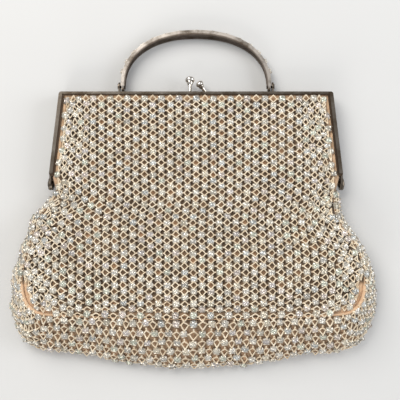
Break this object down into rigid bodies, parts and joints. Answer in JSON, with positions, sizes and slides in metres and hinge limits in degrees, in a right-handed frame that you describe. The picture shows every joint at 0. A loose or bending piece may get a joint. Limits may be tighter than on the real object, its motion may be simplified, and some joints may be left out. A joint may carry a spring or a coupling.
{
  "type": "evening bag",
  "caption": "Evening bag: hinged kiss-lock metal frame, swinging bow handle and a cloth-lined pouch of glass stone net.",
  "frame": {"origin": "on the surface the bag lies on, under the middle of its overall width and height", "axes": "bag on its back: +X to its right, +Y towards the handle, +Z out of the front face"},
  "size_m": [0.2212, 0.2078, 0.0272],
  "materials": {
    "frame_metal": "aged nickel plate, worn bright on the rims and brown in the hollows",
    "knob_metal": "polished, lightly scuffed",
    "cup_metal": "claw cups, dulled",
    "stones": "faceted, foil-backed",
    "stone_net": "cream thread net set with stones in claw cups",
    "backing_cloth": "peach plain-weave cloth",
    "lining_satin": "satin, soft sheen",
    "packing_paper": "twisted paper cord"
  },
  "bodies": {
    "pouch": {"back_frame": "frame_metal", "hinge_rivet_left": "frame_metal", "hinge_rivet_right": "frame_metal", "back_knob": "knob_metal", "handle_lug_left": "frame_metal", "handle_lug_right": "frame_metal", "handle_pin_left": "frame_metal", "handle_pin_right": "frame_metal", "back_packing_cord": "packing_paper", "back_net": "stone_net", "gusset_net": "stone_net", "front_net_lower": "stone_net", "back_backing": "backing_cloth", "gusset_backing": "backing_cloth", "front_backing_lower": "backing_cloth", "back_lining": "lining_satin", "gusset_lining": "lining_satin", "front_lining_lower": "lining_satin"},
    "front_half": {"front_frame": "frame_metal", "front_knob": "knob_metal", "front_packing_cord": "packing_paper", "front_net_upper": "stone_net", "front_backing_upper": "backing_cloth", "front_lining_upper": "lining_satin"},
    "handle": {"handle": "frame_metal", "handle_stone_cups": "cup_metal", "handle_stones": "stones"}
  },
  "joints": [
    {"name": "frame_hinge", "type": "hinge", "parent": "pouch", "child": "front_half", "pos_m": [0, 0.0093, 0.0067], "axis": [1, 0, 0], "range_deg": [0, 65]},
    {"name": "handle_swing", "type": "hinge", "parent": "pouch", "child": "handle", "pos_m": [0, 0.069, 0.0043], "axis": [1, 0, 0], "range_deg": [-90, 90]}
  ]
}
